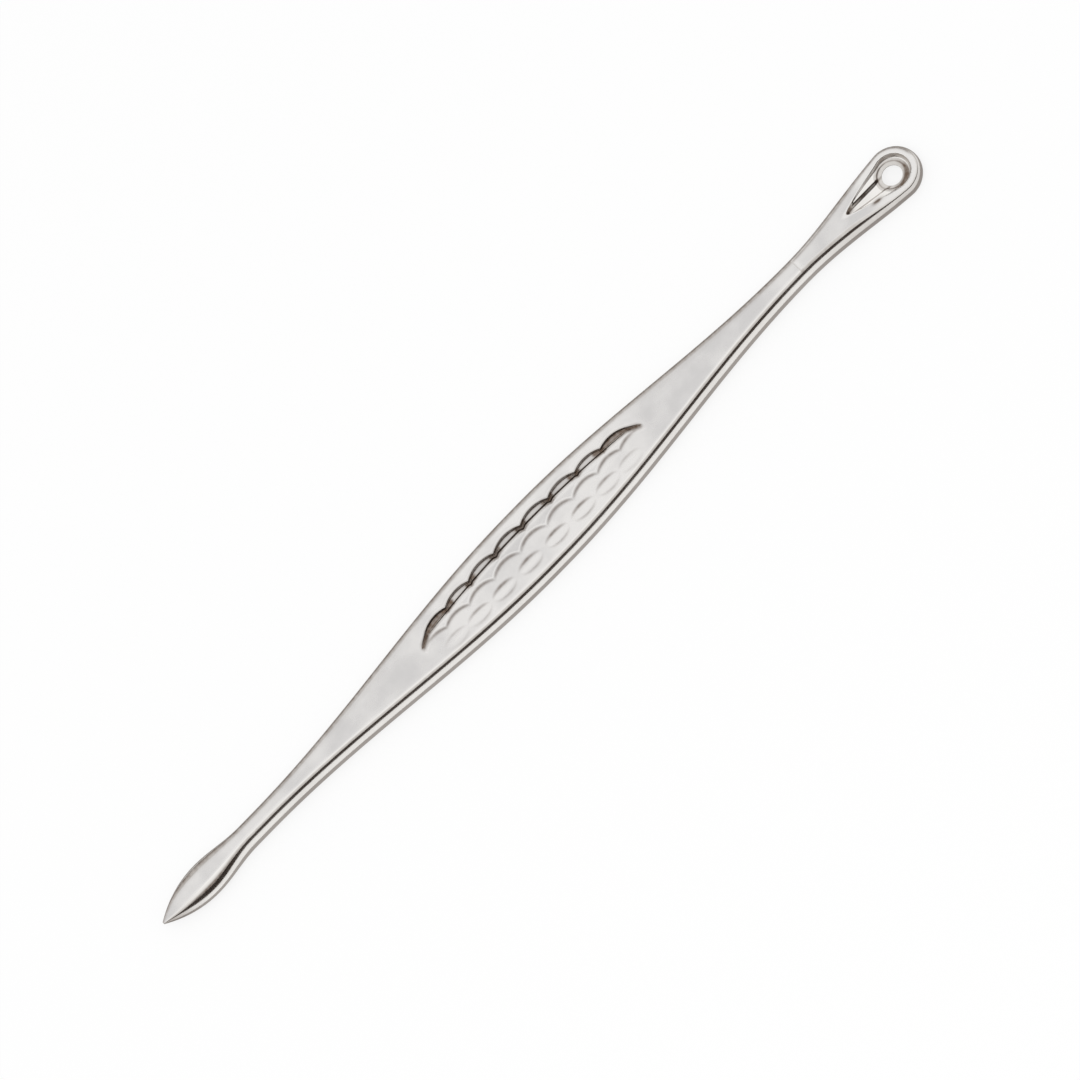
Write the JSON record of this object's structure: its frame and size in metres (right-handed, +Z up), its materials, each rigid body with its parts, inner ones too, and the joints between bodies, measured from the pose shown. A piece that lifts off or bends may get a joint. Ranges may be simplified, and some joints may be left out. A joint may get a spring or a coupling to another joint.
{
  "type": "blackhead extractor",
  "caption": "Slim one-piece steel skin-care tool: a spear-shaped lancet, a spindle handle with a sunk fish-scale grip, and a dished round head with an eye for clearing pores.",
  "frame": {"origin": "middle of the bounding box, on the flat underside", "axes": "+X along the tool from the lancet's tip to the head, +Z up out of the face with the fish-scale grip"},
  "size_m": [0.115, 0.0092, 0.0025],
  "materials": {
    "steel": "bright satin nickel-plated steel"
  },
  "bodies": {
    "root": {"lancet": "steel", "front_shank": "steel", "handle": "steel", "rear_shank": "steel", "extractor_head": "steel"}
  },
  "joints": []
}
